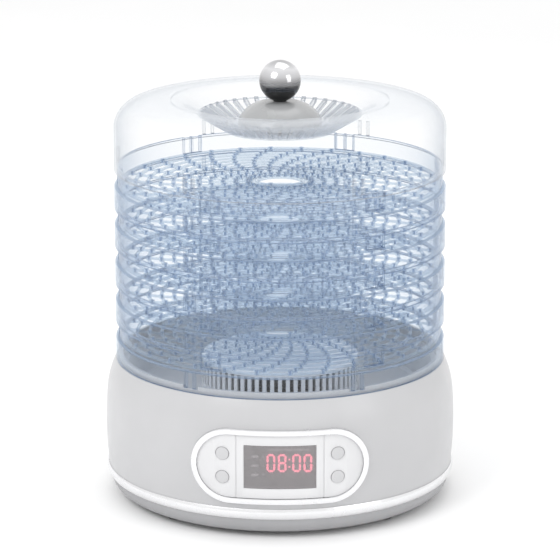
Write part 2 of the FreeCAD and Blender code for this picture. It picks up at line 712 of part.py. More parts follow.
def panel_face():
    """White face plate with a display opening, four button holes and posts for the board."""
    plate = stadium(FACE_W, FACE_H).common(shell(FACE_BACK_R, FACE_FRONT_R))
    posts = [rod_y(3.0, -156.0, BOARD_FRONT_Y, x, PANEL_Z + z) for x in (-62, 62) for z in (-20, 20)]
    plate = fuse(plate, posts)
    cutters = [window(WINDOW_W, WINDOW_H).common(shell(169.5, 180)), window(WINDOW_W - 3.4, WINDOW_H - 3.4)]
    cutters += [rod_y(BUTTON_R + 0.4, -180, -152, x, PANEL_Z + z) for x, z in BUTTONS.values()]
    cutters += [rod_y(1.25, -152.5, -147, x, PANEL_Z + z) for x in (-62, 62) for z in (-20, 20)]
    for x in (-41.0, 41.0):
        groove = block(x - 0.5, x + 0.5, -180, -150, PANEL_Z - FACE_H / 2, PANEL_Z + FACE_H / 2)
        cutters.append(groove.common(shell(FACE_FRONT_R - 0.6, 180)))
    return plate.cut(cutters)


def display_window():
    """Dark lens over the display."""
    return window(WINDOW_W - 0.6, WINDOW_H - 0.6).common(shell(169.7, FACE_FRONT_R + 0.1))


def display_module():
    """Display block on the control board."""
    return block(-32, 32, -164.8, BOARD_FRONT_Y, PANEL_Z - 19, PANEL_Z + 19)


def control_board():
    """Circuit board behind the panel."""
    board = block(-67, 67, BOARD_FRONT_Y, BOARD_FRONT_Y + BOARD_WALL, PANEL_Z - 26, PANEL_Z + 26)
    return board.cut([rod_y(1.5, -150, -140, x, PANEL_Z + z) for x in (-62, 62) for z in (-20, 20)])


def tact_switches():
    """One switch behind each button."""
    half = 3.0
    boxes = []
    for x, z in BUTTONS.values():
        boxes.append(block(x - half, x + half, -152.9, BOARD_FRONT_Y, PANEL_Z + z - half, PANEL_Z + z + half))
    return Part.makeCompound(boxes)


def board_screws():
    """Screws of both circuit boards."""
    top = 12.0 + BOARD_WALL
    back = BOARD_FRONT_Y + BOARD_WALL
    screws = [screw(2.4, 1.2, 8.0, top, top + 1.8, x, y) for x, y in power_board_corners()]
    for x in (-62, 62):
        for z in (PANEL_Z - 20, PANEL_Z + 20):
            screws.append(rod_y(2.4, back, back + 1.8, x, z).fuse(rod_y(1.2, -152.0, back, x, z)))
    return Part.makeCompound(screws)


def button(x, dz):
    """Round button with a flange that keeps it behind the face plate."""
    z = PANEL_Z + dz
    front = rod_y(BUTTON_R, -176, BUTTON_FLANGE_Y, x, z).common(shell(0.1, FACE_FRONT_R + 0.8))
    return front.fuse(rod_y(BUTTON_R + 1.5, BUTTON_FLANGE_Y, BUTTON_FLANGE_Y + 1.4, x, z))


# ---------------------------------------------------------------- whole object

def nodes():
    """Every named piece at rest."""
    found = {
        "upper_housing": upper_housing(),
        "trim_ring": trim_ring(),
        "bottom_pan": bottom_pan(),
        "rubber_feet": rubber_feet(),
        "air_diffuser": air_diffuser(),
        "housing_screws": housing_screws(),
        "cord_gland": cord_gland(),
        "air_duct": air_duct(),
        "duct_screws": duct_screws(),
        "heater_frame": heater_frame(),
        "heating_coil": heating_coil(),
        "thermal_cutout": thermal_cutout(),
        "temperature_probe": temperature_probe(),
        "motor_can": motor_can(),
        "motor_bearing": motor_bearing(),
        "motor_bracket": motor_bracket(),
        "bracket_screws": bracket_screws(),
        "motor_shaft": disc(SHAFT_R, 26.5, FAN_TOP + 3.0),
        "fan_impeller": fan_impeller(),
        "fan_clip": tube(SHAFT_R, 4.5, FAN_TOP, FAN_TOP + 1.2),
        "power_board": power_board(),
        "power_components": power_components(),
        "panel_bezel": panel_bezel(),
        "panel_face": panel_face(),
        "display_window": display_window(),
        "display_module": display_module(),
        "control_board": control_board(),
        "tact_switches": tact_switches(),
        "board_screws": board_screws(),
    }
    for name, (x, dz) in BUTTONS.items():
        found[name] = button(x, dz)
    wall, floor = tray_wall(), tray_floor()
    for i in range(TRAY_COUNT):
        ledge = LEDGE_1 + i * TRAY_PITCH
        found[f"tray_{i + 1}_wall"] = moved(wall, z=ledge)
        found[f"tray_{i + 1}_floor"] = moved(floor, z=ledge)
    for name, shape in {**lid_pieces(), **knob_pieces()}.items():
        found[name] = moved(shape, z=LID_Z)
    return found


def main():
    """Writes one STEP file per node."""
    os.makedirs("parts", exist_ok=True)
    for name, shape in nodes().items():
        if not shape.isValid() or shape.Volume <= 0:
            raise ValueError(f"{name} is not a valid solid")
        shape.exportStep(f"parts/{name}.step")
        print(f"{name}: {len(shape.Solids)} solids, {len(shape.Faces)} faces, {shape.Volume / 1000:.1f} cm3")
    print(f"first ledge {LEDGE_1:.2f}, tray pitch {TRAY_PITCH:.2f}, lid {LID_Z:.2f}, ball top {LID_Z + BALL_Z + BALL_R:.2f}")


main()
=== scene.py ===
"""Looks of the food dehydrator: its materials, its small finishing pieces, light and camera."""
import math

import bmesh
import bpy
from mathutils import Matrix, Vector


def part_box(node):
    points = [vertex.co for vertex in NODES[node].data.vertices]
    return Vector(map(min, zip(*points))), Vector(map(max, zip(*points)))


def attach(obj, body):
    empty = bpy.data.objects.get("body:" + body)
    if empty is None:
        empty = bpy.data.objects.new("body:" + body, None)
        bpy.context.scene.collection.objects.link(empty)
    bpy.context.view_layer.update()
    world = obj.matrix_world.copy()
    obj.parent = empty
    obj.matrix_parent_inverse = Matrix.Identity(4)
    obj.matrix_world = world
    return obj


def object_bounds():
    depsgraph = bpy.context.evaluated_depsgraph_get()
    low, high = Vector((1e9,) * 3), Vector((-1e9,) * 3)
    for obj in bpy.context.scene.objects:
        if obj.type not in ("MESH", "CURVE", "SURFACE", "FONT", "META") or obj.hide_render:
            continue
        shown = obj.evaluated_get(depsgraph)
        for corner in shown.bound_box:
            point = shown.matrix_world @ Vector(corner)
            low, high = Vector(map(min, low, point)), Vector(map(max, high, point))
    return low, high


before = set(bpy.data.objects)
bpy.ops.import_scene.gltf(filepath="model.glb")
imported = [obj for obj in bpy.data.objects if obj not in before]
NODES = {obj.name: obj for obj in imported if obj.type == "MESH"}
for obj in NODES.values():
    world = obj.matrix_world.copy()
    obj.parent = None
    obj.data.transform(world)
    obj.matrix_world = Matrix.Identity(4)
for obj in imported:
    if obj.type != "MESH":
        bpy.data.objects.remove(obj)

CAD_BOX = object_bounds()
TRAY_NUMBERS = range(1, 6)
MM = 0.001

# A tray's floor, measured from its axis and up from its ledge, as in its CAD model
SKIRT_DEPTH = 21.1 * MM
OUTER_RING_R = 139.4 * MM
RING_PITCH = 12.0 * MM
RING_COUNT = 10
RIB_COUNT = 30
BAND_R = 149.1 * MM  # circle of the outermost posts
SWIRL_OUT, SWIRL_IN = 240.0, 150.0  # degrees that a rib turns per metre at its outer and inner end
CORE_R = 1.2 * MM
CORE_LOW, CORE_HIGH = 0.4 * MM, 4.0 * MM
CORE_SIDES = 8

# The dark lines of painted shade inside the edges of the clear plastic
LINE_HALF = 0.22 * MM
LINE_INSET = 0.3 * MM
SHARP_ANGLE = 40.0  # degrees that an edge turns by, at least, to have a line
WELD_DISTANCE = 0.002 * MM

# The lid
LID_PARTING_R = 105.0 * MM  # where its two CAD pieces meet inside one moulding
PARTING_REACH = 1.5 * MM
VENT_R, VENT_FADE = 80.0 * MM, 4.0 * MM  # circle round the vent slots

# The display, measured across and up from the middle of its block
FIGURES = ((-8.5, "0"), (2.0, "8"), (15.5, "0"), (26.0, "0"))  # millimetres across, and the figure
FIGURE_SEGMENTS = {"0": "abcdef", "8": "abcdefg"}
FIGURE_UP = 2.5 * MM
FIGURE_WIDTH, FIGURE_HEIGHT = 6.2 * MM, 15.5 * MM
FIGURE_STROKE = 1.0 * MM  # half the width of a segment
FIGURE_RISE = 0.5 * MM  # how far a figure stands off the block
SEGMENT_GAP = 0.3  # how far a segment's ends are set back, as a share of its stroke
COLON_LEFT, COLON_RIGHT = 7.9 * MM, 9.6 * MM
COLON_HALF = 0.8 * MM
COLON_UP = 3.6 * MM
MARK_PITCH = 9.0 * MM
MARK_RISE = 0.4 * MM
MARK_BAR = (-27.5, -19.5, 1.1)  # left end, right end and half height, in millimetres
MARK_DOT = (-16.5, -15.0, 0.7)
HAIRLINE = (-12.0, 29.0, 0.5)
HAIRLINE_UP = 15.5 * MM

# The black crosses of the housing screws: painted shade of their cross recesses
SCREW_COUNT = 6
SCREW_CIRCLE = 146.0 * MM
CROSS_LENGTH, CROSS_WIDTH, CROSS_DEPTH = 3.4 * MM, 0.7 * MM, 0.3 * MM
CROSS_LEVEL = 0.1 * MM
CROSS_TURN = 0.4  # radians that each screw is turned by, more than the one before

# Light and camera
LIGHT_AIM = (0.0, 0.0, 0.2)
CAMERA_ELEVATION = 14.5
CAMERA_DISTANCE = 3.0
CAMERA_LENS = 198.0
CAMERA_AIM_DROP = 4.0 * MM


# ---------------------------------------------------------------- node helpers

class Graph:
    """A material's node tree, with short calls to add and join nodes."""

    def __init__(self, name):
        self.material = bpy.data.materials.new(name)
        self.material.use_nodes = True
        self.tree = self.material.node_tree
        self.tree.nodes.clear()
        self.output = self.add("ShaderNodeOutputMaterial")
        self.place = self.add("ShaderNodeTexCoord").outputs["Object"]

    def add(self, kind, **settings):
        node = self.tree.nodes.new(kind)
        for key, value in settings.items():
            setattr(node, key, value)
        return node

    def set(self, socket, value):
        """A number or colour is set on the socket, and an output is joined to it."""
        if isinstance(value, bpy.types.NodeSocket):
            self.tree.links.new(value, socket)
        else:
            socket.default_value = value

    def math(self, operation, a, b=0.0, clamp=False):
        node = self.add("ShaderNodeMath", operation=operation, use_clamp=clamp)
        self.set(node.inputs[0], a)
        self.set(node.inputs[1], b)
        return node.outputs[0]

    def noise(self, scale, detail=3.0, stretch=None):
        node = self.add("ShaderNodeTexNoise")
        where = self.place
        if stretch:
            mapping = self.add("ShaderNodeMapping")
            self.set(mapping.inputs["Vector"], self.place)
            mapping.inputs["Scale"].default_value = stretch
            where = mapping.outputs[0]
        self.set(node.inputs["Vector"], where)
        node.inputs["Scale"].default_value = scale
        node.inputs["Detail"].default_value = detail
        return node.outputs["Fac"]

    def ramp(self, value, low, high, start=0.3, end=0.7):
        """A number from low to high as value goes from start to end."""
        node = self.add("ShaderNodeMapRange")
        self.set(node.inputs["Value"], value)
        for name, number in (("From Min", start), ("From Max", end), ("To Min", low), ("To Max", high)):
            node.inputs[name].default_value = number
        return node.outputs[0]

    def blend(self, factor, a, b):
        """A colour between a and b. Sockets 6 and 7 of a Mix node take its colours, and output 2 gives one."""
        node = self.add("ShaderNodeMix", data_type="RGBA")
        self.set(node.inputs["Factor"], factor)
        self.set(node.inputs[6], rgba(a))
        self.set(node.inputs[7], rgba(b))
        return node.outputs[2]

    def bump(self, height, strength, distance):
        node = self.add("ShaderNodeBump")
        node.inputs["Strength"].default_value = strength
        node.inputs["Distance"].default_value = distance
        self.set(node.inputs["Height"], height)
        return node.outputs[0]

    def principled(self, **inputs):
        node = self.add("ShaderNodeBsdfPrincipled")
        for key, value in inputs.items():
            self.set(node.inputs[key.replace("_", " ")], rgba(value) if isinstance(value, tuple) else value)
        return node.outputs[0]

    def finish(self, surface):
        self.set(self.output.inputs["Surface"], surface)
        return self.material

    def finish_clear(self, tint, share, body):
        """Finishes with a surface that is body by share, and otherwise lets tinted light through."""
        through = self.add("ShaderNodeBsdfTransparent")
        self.set(through.inputs["Color"], rgba(tint))
        mix = self.add("ShaderNodeMixShader")
        self.set(mix.inputs[0], share)
        self.set(mix.inputs[1], through.outputs[0])
        self.set(mix.inputs[2], body)
        return self.finish(mix.outputs[0])


def rgba(colour):
    """A colour with its alpha, or the output that was given."""
    return (*colour, 1.0) if isinstance(colour, tuple) and len(colour) == 3 else colour


def shade(colour, factor):
    """A darker or lighter colour."""
    return tuple(min(1.0, c * factor) for c in colour)


# ---------------------------------------------------------------- materials

def plastic(name, colour, rough, grain=0.0, coat=0.0):
    """Moulded plastic: faint colour drift, uneven gloss and a fine surface grain."""
    g = Graph(name)
    drift = g.noise(14.0)
    tone = g.blend(g.ramp(drift, 0.0, 1.0), shade(colour, 0.965), shade(colour, 1.02))
    gloss = g.ramp(g.noise(60.0, 4.0), rough - 0.04, rough + 0.05)
    fine = g.math("ADD", g.noise(1500.0, 2.0), g.math("MULTIPLY", g.noise(35.0), 0.6))
    normal = g.bump(fine, 0.12 + grain, 0.0002)
    return g.finish(g.principled(
        Base_Color=tone, Roughness=gloss, Normal=normal, Coat_Weight=coat, Coat_Roughness=0.12,
    ))


def metal(name, colour, rough, brushed=(1.0, 1.0, 1.0), lines=0.25):
    """Metal with fine lines along the direction that brushed leaves long."""
    g = Graph(name)
    streaks = g.noise(1200.0, 3.0, brushed)
    tone = g.blend(g.ramp(streaks, 0.0, 1.0), shade(colour, 0.9), shade(colour, 1.05))
    gloss = g.ramp(g.noise(45.0, 3.0), rough * 0.75, rough * 1.3)
    normal = g.bump(streaks, lines, 0.00004)
    return g.finish(g.principled(Base_Color=tone, Metallic=1.0, Roughness=gloss, Normal=normal))


def grazing(g, low, high, power):
    """A number from low, seen straight on, to high, seen edge-on. It's the same from inside and outside."""
    facing = g.add("ShaderNodeLayerWeight")
    facing.inputs["Blend"].default_value = 0.5
    slant = g.math("POWER", facing.outputs["Facing"], power)
    return g.math("ADD", low, g.math("MULTIPLY", slant, high - low), clamp=True)


def flat_faces(g):
    """One on faces that look up or down, zero on upright ones."""
    split = g.add("ShaderNodeSeparateXYZ")
    g.set(split.inputs[0], g.add("ShaderNodeNewGeometry").outputs["Normal"])
    return g.ramp(g.math("ABSOLUTE", split.outputs["Z"]), 0.0, 1.0, 0.45, 0.85)


def upright_faces(g):
    """One on upright faces, zero on those that look up or down."""
    return g.math("SUBTRACT", 1.0, flat_faces(g), clamp=True)


def vent_slot_faces(g):
    """One on the upright faces of the vent slots round the knob."""
    split = g.add("ShaderNodeSeparateXYZ")
    g.set(split.inputs[0], g.place)
    x, y = split.outputs["X"], split.outputs["Y"]
    reach = g.math("SQRT", g.math("ADD", g.math("MULTIPLY", x, x), g.math("MULTIPLY", y, y)))
    return g.math("MULTIPLY", upright_faces(g), g.ramp(reach, 1.0, 0.0, VENT_R, VENT_R + VENT_FADE))


def painted_edge_shade(name, colour, share):
    """See-through dark line of painted shade inside the edges of clear plastic."""
    g = Graph(name)
    uneven = g.ramp(g.noise(55.0, 2.0), 0.0, 1.0)
    body = g.principled(
        Base_Color=g.blend(uneven, shade(colour, 0.8), shade(colour, 1.1)),
        Roughness=g.ramp(g.noise(90.0), 0.25, 0.45),
    )
    return g.finish_clear(shade(colour, 1.5), g.ramp(uneven, share * 0.7, share, 0.0, 1.0), body)


# The ball's grey at shares of its height: painted reflection, bright above and dark below
BALL_PAINTED_REFLECTION = ((0.0, 0.05), (0.40, 0.07), (0.52, 0.30), (0.66, 0.60), (0.82, 0.80), (1.0, 0.45))


def steel_ball_painted_reflection(name):
    """Polished steel with a painted reflection, bright above and dark below by height."""
    g = Graph(name)
    low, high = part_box("knob_ball")
    split = g.add("ShaderNodeSeparateXYZ")
    g.set(split.inputs[0], g.place)
    level = g.math("ADD", split.outputs["Z"], g.ramp(g.noise(40.0, 2.0), -0.0012, 0.0012))
    share = g.math("DIVIDE", g.math("SUBTRACT", level, low.z), high.z - low.z)
    # Painted reflection: the grey is set by height, not by what the steel reflects
    bands = g.add("ShaderNodeValToRGB")
    g.set(bands.inputs[0], share)
    while len(bands.color_ramp.elements) < len(BALL_PAINTED_REFLECTION):
        bands.color_ramp.elements.new(0.5)
    for stop, (height, grey) in zip(bands.color_ramp.elements, BALL_PAINTED_REFLECTION):
        stop.position = height
        stop.color = (grey, grey, grey * 1.02, 1.0)
    return g.finish(g.principled(
        Base_Color=bands.outputs["Color"], Metallic=1.0, Roughness=g.ramp(g.noise(45.0), 0.10, 0.18),
        Normal=g.bump(g.noise(900.0), 0.03, 0.00003),
    ))


RIM_POWER = 4.5  # the higher, the nearer to edge-on a clear surface stays clear
RIM_HAZE = 0.7  # how much less clear it is edge-on than straight on
# Painted shade: share of the edge's colour that a picked face takes
PAINTED_SHADE_DEPTH = 0.55  # share of the edge's colour that a lit face takes


def clear(name, tint, edge, glow, haze, gloss, painted_shade_faces, painted_shade_haze, falloff=2.6):
    """Clear moulded plastic. What is behind it takes its tint, and its edge colour where it is seen edge-on.

    Painted shade for light that runs inside the plastic and comes out at the faces that the face mask picks:
    those take more of the edge colour and are milkier, by the given haze."""
    g = Graph(name)
    # Painted shade: faces picked by their direction take more of the edge colour
    painted_face_shade = painted_shade_faces(g)
    slant = grazing(g, 0.0, 1.0, falloff)
    deep = g.math("MAXIMUM", slant, g.math("MULTIPLY", painted_face_shade, PAINTED_SHADE_DEPTH))
    flow = g.ramp(g.noise(22.0, 2.0), 0.0, 1.0)
    body = g.principled(
        Base_Color=g.blend(painted_face_shade, g.blend(flow, shade(glow, 0.97), glow), shade(edge, 1.05)),
        Roughness=g.ramp(g.noise(70.0), gloss * 0.7, gloss * 1.4),
        Normal=g.bump(g.noise(120.0, 2.0), 0.06, 0.0004),
        IOR=1.5,
    )
    rim = grazing(g, haze, haze + RIM_HAZE, RIM_POWER)
    share = g.math("ADD", rim, g.math("MULTIPLY", painted_face_shade, painted_shade_haze), clamp=True)
    return g.finish_clear(g.blend(deep, tint, edge), share, body)


def smoked_lens(name):
    """Grey glossy lens that lets the lit figures through."""
    g = Graph(name)
    film = g.blend(g.ramp(g.noise(30.0), 0.0, 1.0), (0.41, 0.40, 0.405), (0.46, 0.445, 0.45))
    body = g.principled(Base_Color=film, Roughness=0.08, IOR=1.5, Coat_Weight=0.5, Coat_Roughness=0.03)
    return g.finish_clear((0.74, 0.72, 0.73), grazing(g, 0.42, 1.0, RIM_POWER), body)


def lit(name, colour, strength):
    """Glowing segment or mark of the display, a little uneven. The figures really glow; on the unlit marks the
    glow is painted light.
    """
    g = Graph(name)
    uneven = g.ramp(g.noise(400.0, 2.0), 0.75, 1.0)
    tone = g.blend(uneven, shade(colour, 0.6), colour)
    return g.finish(g.principled(
        Base_Color=shade(colour, 0.5), Emission_Color=tone, Emission_Strength=strength, Roughness=0.4,
    ))


def circuit_board(name):
    """Green board with a lighter pattern of tracks."""
    g = Graph(name)
    tracks = g.add("ShaderNodeTexBrick")
    g.set(tracks.inputs["Vector"], g.place)
    tracks.inputs["Scale"].default_value = 90.0
    tracks.inputs["Mortar Size"].default_value = 0.03
    tracks.inputs["Color1"].default_value = (0.02, 0.13, 0.05, 1.0)
    tracks.inputs["Color2"].default_value = (0.02, 0.16, 0.06, 1.0)
    tracks.inputs["Mortar"].default_value = (0.05, 0.26, 0.10, 1.0)
    return g.finish(g.principled(
        Base_Color=tracks.outputs["Color"], Roughness=g.ramp(g.noise(80.0), 0.3, 0.5), Coat_Weight=0.4,
    ))


def rubber(name, colour):
    """Soft matt rubber."""
    g = Graph(name)
    speck = g.noise(700.0, 4.0)
    tone = g.blend(g.ramp(speck, 0.0, 1.0), shade(colour, 0.8), shade(colour, 1.2))
    return g.finish(g.principled(
        Base_Color=tone, Roughness=g.ramp(g.noise(90.0), 0.65, 0.85), Normal=g.bump(speck, 0.3, 0.0002),
    ))


def mineral(name, colour):
    """Pale heat-proof board with flecks."""
    g = Graph(name)
    flecks = g.ramp(g.noise(260.0, 6.0), 0.0, 1.0, 0.45, 0.6)
    return g.finish(g.principled(
        Base_Color=g.blend(flecks, shade(colour, 0.8), colour), Roughness=g.ramp(flecks, 0.5, 0.75),
    ))


def backdrop(name):
    """Plain white floor with a trace of unevenness."""
    g = Graph(name)
    tone = g.blend(g.ramp(g.noise(1.5), 0.0, 1.0), (0.93, 0.93, 0.93), (0.95, 0.95, 0.95))
    return g.finish(g.principled(Base_Color=tone, Roughness=g.ramp(g.noise(3.0), 0.55, 0.65)))


def make_materials():
    """All materials by name."""
    upright_lines = (1.0, 1.0, 0.02)
    level_lines = (1.0, 1.0, 12.0)
    return {
        "housing": plastic("housing_light_grey", (0.50, 0.50, 0.51), 0.34, grain=0.1, coat=0.15),
        "pan": plastic("pan_grey", (0.36, 0.36, 0.37), 0.5, grain=0.3),
        "white": plastic("white_gloss", (0.86, 0.86, 0.87), 0.26, coat=0.3),
        "face": plastic("panel_white", (0.68, 0.68, 0.69), 0.32, grain=0.05, coat=0.2),
        "trim": metal("trim_bright", (0.85, 0.85, 0.86), 0.24, level_lines, 0.1),
        # Each clear material gets painted shade on faces picked by direction: flat faces on the tray walls,
        # upright faces on the tray floors, the vent slot walls on the lid
        "tray_wall": clear(
            "tray_wall_clear", tint=(0.968, 0.976, 0.986), edge=(0.58, 0.66, 0.75), glow=(0.84, 0.88, 0.93),
            haze=0.03, gloss=0.09, painted_shade_faces=flat_faces, painted_shade_haze=0.22,
        ),
        "tray_floor": clear(
            "tray_floor_clear", tint=(0.992, 0.995, 0.998), edge=(0.66, 0.74, 0.82), glow=(0.88, 0.92, 0.95),
            haze=0.03, gloss=0.12, painted_shade_faces=upright_faces, painted_shade_haze=0.07,
        ),
        "lid": clear(
            "lid_clear", tint=(0.996, 0.997, 0.998), edge=(0.66, 0.69, 0.73), glow=(0.94, 0.95, 0.96),
            haze=0.008, gloss=0.08, painted_shade_faces=vent_slot_faces, painted_shade_haze=0.3, falloff=4.5,
        ),
        # Dark rods and post cores of painted shade inside the clear plastic
        "line": painted_edge_shade("tray_edge_painted_shade", (0.36, 0.44, 0.55), 0.6),
        "core": painted_edge_shade("tray_post_painted_shade", (0.44, 0.51, 0.60), 0.45),
        "lid_line": painted_edge_shade("lid_edge_painted_shade", (0.50, 0.515, 0.54), 0.5),
        "lens": smoked_lens("display_smoked"),
        "button": plastic("button_grey", (0.55, 0.55, 0.56), 0.45, grain=0.15),
        # The unlit marks glow a little: painted light
        "mark": lit("mark_grey_painted_glow", (0.78, 0.77, 0.78), 0.75),
        "ball": steel_ball_painted_reflection("ball_steel_painted_reflection"),
        "cap": plastic("cap_grey", (0.34, 0.345, 0.35), 0.25, coat=0.4),
        "steel": metal("steel_plain", (0.56, 0.57, 0.58), 0.3, upright_lines, 0.3),
        "aluminium": metal("aluminium_sheet", (0.72, 0.73, 0.74), 0.34, upright_lines, 0.3),
        "wire": metal("wire_oxidised", (0.22, 0.20, 0.18), 0.5, (1.0, 1.0, 4.0), 0.4),
        "bronze": metal("bronze_sintered", (0.50, 0.33, 0.17), 0.5, lines=0.6),
        "black": plastic("black_plastic", (0.02, 0.02, 0.022), 0.42, grain=0.3),
        "display": plastic("display_grey", (0.30, 0.29, 0.295), 0.5),
        "fan": plastic("fan_dark_grey", (0.06, 0.06, 0.065), 0.4, grain=0.2),
        "foot": rubber("foot_rubber", (0.09, 0.09, 0.09)),
        "gland": rubber("gland_rubber", (0.03, 0.03, 0.03)),
        "mica": mineral("mica_board", (0.55, 0.49, 0.37)),
        "board": circuit_board("board_green"),
        "digit": lit("digit_red", (1.0, 0.20, 0.29), 4.0),
        "floor": backdrop("floor_white"),
    }


NODE_LOOKS = {
    "upper_housing": "housing", "trim_ring": "trim", "bottom_pan": "pan", "rubber_feet": "foot",
    "air_diffuser": "white", "housing_screws": "steel", "cord_gland": "gland", "air_duct": "aluminium",
    "duct_screws": "steel", "heater_frame": "mica", "heating_coil": "wire", "thermal_cutout": "black",
    "temperature_probe": "steel", "motor_can": "steel", "motor_bearing": "bronze",
    "motor_bracket": "aluminium", "bracket_screws": "steel", "power_board": "board",
    "power_components": "black", "panel_bezel": "trim", "panel_face": "face", "display_window": "lens",
    "display_module": "display", "control_board": "board", "tact_switches": "black",
    "board_screws": "steel", "motor_shaft": "steel", "fan_impeller": "fan", "fan_clip": "steel",
    "lid_dome": "lid", "lid_funnel": "lid", "knob_ball": "ball", "knob_cap": "cap", "knob_stem": "steel",
    "vent_shutter": "lid", "shutter_nut": "steel", "power_button": "button", "mode_button": "button",
    "plus_button": "button", "minus_button": "button",
}


def dress(node, material):
    """Gives a CAD piece its only material."""
    mesh = NODES[node].data
    mesh.materials.clear()
    mesh.materials.append(material)


SOFT_EDGES = {
    "panel_bezel": 0.9 * MM, "panel_face": 0.4 * MM, "power_button": 0.5 * MM, "mode_button": 0.5 * MM,
    "plus_button": 0.5 * MM, "minus_button": 0.5 * MM, "cord_gland": 1.2 * MM,
}


def soften(node, width):
    """Rounds a CAD piece's sharp edges a little, so that they catch the light."""
    piece = NODES[node]
    weld = piece.modifiers.new("join", "WELD")
    weld.merge_threshold = WELD_DISTANCE
    bevel = piece.modifiers.new("edge", "BEVEL")
    bevel.width = width
    bevel.segments = 2
    bevel.limit_method = "ANGLE"
    bevel.angle_limit = math.radians(35.0)


# ---------------------------------------------------------------- finishing pieces

def place(name, mesh, body, up=0.0):
    """An object of a mesh, which rides on a body and takes its finish from a slot."""
    piece = bpy.data.objects.new(name, mesh)
    piece.location.z = up
    bpy.context.scene.collection.objects.link(piece)
    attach(piece, body)


def mesh_from(name, corners, faces, material):
    """A mesh of listed corners and faces."""
    mesh = bpy.data.meshes.new(name)
    mesh.from_pydata([tuple(c) for c in corners], [], faces)
    mesh.update()
    mesh.materials.append(material)
    return mesh


def mesh_of(name, bm, material):
    """A mesh of what bm holds, which is used up."""
    mesh = bpy.data.meshes.new(name)
    bmesh.ops.recalc_face_normals(bm, faces=bm.faces)
    bm.to_mesh(mesh)
    bm.free()
    mesh.materials.append(material)
    return mesh


def sharp_edges(node):
    """Ends of a CAD piece's sharp edges, moved a little under the surface."""
    bm = bmesh.new()
    bm.from_mesh(NODES[node].data)
    bmesh.ops.remove_doubles(bm, verts=bm.verts, dist=WELD_DISTANCE)
    bm.normal_update()
    ends = []
    for edge in bm.edges:
        if len(edge.link_faces) == 2 and edge.calc_face_angle(0.0) > math.radians(SHARP_ANGLE):
            outward = (edge.link_faces[0].normal + edge.link_faces[1].normal).normalized()
            ends.append(tuple(vert.co - outward * LINE_INSET for vert in edge.verts))
    bm.free()
    return ends


def side_faces(first, count):
    """Faces between two rings of count corners each, which are numbered on from first."""
    faces = []
    for i in range(count):
        j = (i + 1) % count
        faces.append((first + i, first + j, first + count + j, first + count + i))
    return faces


def threads(ends):
    """Corners and faces of thin square rods along pairs of points."""
    corners, faces = [], []
    for start, end in ends:
        along = (end - start).normalized()
        side = along.orthogonal().normalized() * LINE_HALF
        over = along.cross(side)
        faces += side_faces(len(corners), 4)
        corners += [point + step for point in (start, end) for step in (side, over, -side, -over)]
    return corners, faces


def swirl(radius):
    """Degrees that a tray's ribs have turned by at a radius."""
    travel = OUTER_RING_R - radius
    whole = (RING_COUNT - 1) * RING_PITCH
    return travel * (SWIRL_OUT + (SWIRL_IN - SWIRL_OUT) * travel / (2 * whole))


def core_corners(x, y, ledge):
    """Corners of the core of one post: its lower ring, then its upper one."""
    corners = []
    for z in (ledge + CORE_LOW, ledge + CORE_HIGH):
        for i in range(CORE_SIDES):
            turn = math.radians(360.0 / CORE_SIDES * i)
            corners.append((x + CORE_R * math.cos(turn), y + CORE_R * math.sin(turn), z))
    return corners


def post_cores():
    """Corners and faces of the dark cores of painted shade in a tray's posts, at the height of the lowest
    tray.
    """
    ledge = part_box("tray_1_wall")[0].z + SKIRT_DEPTH
    radii = [BAND_R] + [OUTER_RING_R - i * RING_PITCH for i in range(RING_COUNT)]
    corners, faces = [], []
    for radius in radii:
        for k in range(RIB_COUNT):
            angle = math.radians(k * 360.0 / RIB_COUNT + swirl(radius))
            lower = range(len(corners), len(corners) + CORE_SIDES)
            upper = range(lower.stop, lower.stop + CORE_SIDES)
            faces += side_faces(lower.start, CORE_SIDES)
            faces += [tuple(reversed(lower)), tuple(upper)]
            corners += core_corners(radius * math.cos(angle), radius * math.sin(angle), ledge)
    return corners, faces


def tray_lines(materials):
    """The dark lines of painted shade inside each tray's edges and posts, in the same two meshes for every
    tray.
    """
    edges = mesh_from("tray_edges", *threads(sharp_edges("tray_1_wall")), materials["line"])
    cores = mesh_from("tray_cores", *post_cores(), materials["core"])
    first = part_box("tray_1_wall")[0].z
    for number in TRAY_NUMBERS:
        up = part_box(f"tray_{number}_wall")[0].z - first
        place(f"tray_{number}_edges", edges, f"tray_{number}", up)
        place(f"tray_{number}_cores", cores, f"tray_{number}", up)


def off_parting(ends):
    """Whether an edge lies away from where the lid's two CAD pieces meet."""
    middle = (ends[0] + ends[1]) / 2
    return abs(middle.xy.length - LID_PARTING_R) > PARTING_REACH


def lid_lines(materials):
    """The dark lines of painted shade inside the edges of the lid and its vents."""
    for node in ("lid_dome", "lid_funnel"):
        name = f"{node}_edges"
        ends = filter(off_parting, sharp_edges(node))
        place(name, mesh_from(name, *threads(ends), materials["lid_line"]), "lid")


def prism(bm, outline, y_front, y_back):
    """Solid between two copies of an outline of (x, z) points."""
    front = [bm.verts.new((x, y_front, z)) for x, z in outline]
    back = [bm.verts.new((x, y_back, z)) for x, z in outline]
    bm.faces.new(front)
    bm.faces.new(list(reversed(back)))
    for i in range(len(outline)):
        j = (i + 1) % len(outline)
        bm.faces.new((front[i], front[j], back[j], back[i]))


def bar(x0, z0, x1, z1, half):
    """Outline of a display segment with pointed ends."""
    step = Vector((x1 - x0, z1 - z0)).normalized() * half
    side = Vector((-step.y, step.x))
    start = Vector((x0, z0)) + step * SEGMENT_GAP
    end = Vector((x1, z1)) - step * SEGMENT_GAP
    return (
        start, start + step + side, end - step + side,
        end, end - step - side, start + step - side,
    )


def level_bar(measures, z):
    """Outline of a level bar at height z."""
    left, right, half = measures
    return bar(left * MM, z, right * MM, z, half * MM)


